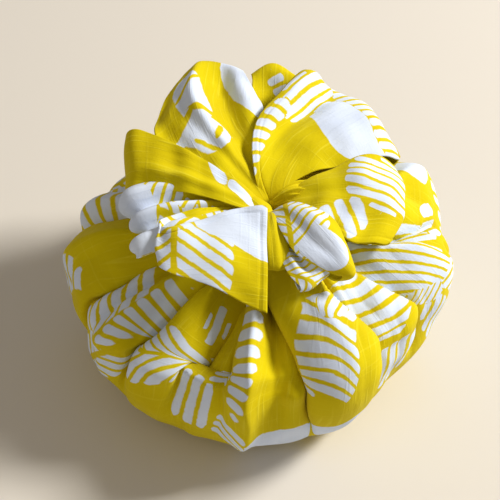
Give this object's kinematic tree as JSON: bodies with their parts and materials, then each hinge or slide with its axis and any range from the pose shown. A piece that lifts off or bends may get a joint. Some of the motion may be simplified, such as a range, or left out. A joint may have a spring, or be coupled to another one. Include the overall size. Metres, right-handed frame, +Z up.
{
  "type": "furoshiki wrap",
  "caption": "Square cotton cloth gathered round a filled round bundle and knotted on top into open petal loops, with one hemmed corner folded over the front.",
  "frame": {"origin": "centre of the flat base that the bundle stands on", "axes": "+Z up through the bundle, -Y towards the front, where the hemmed corner hangs, +X to the right"},
  "size_m": [0.2152, 0.2124, 0.1288],
  "materials": {
    "printed_cotton": "matt slub cotton, yellow ground with a white printed leaf of parallel strokes"
  },
  "bodies": {
    "root": {"wrap_cloth": "printed_cotton"}
  },
  "joints": []
}
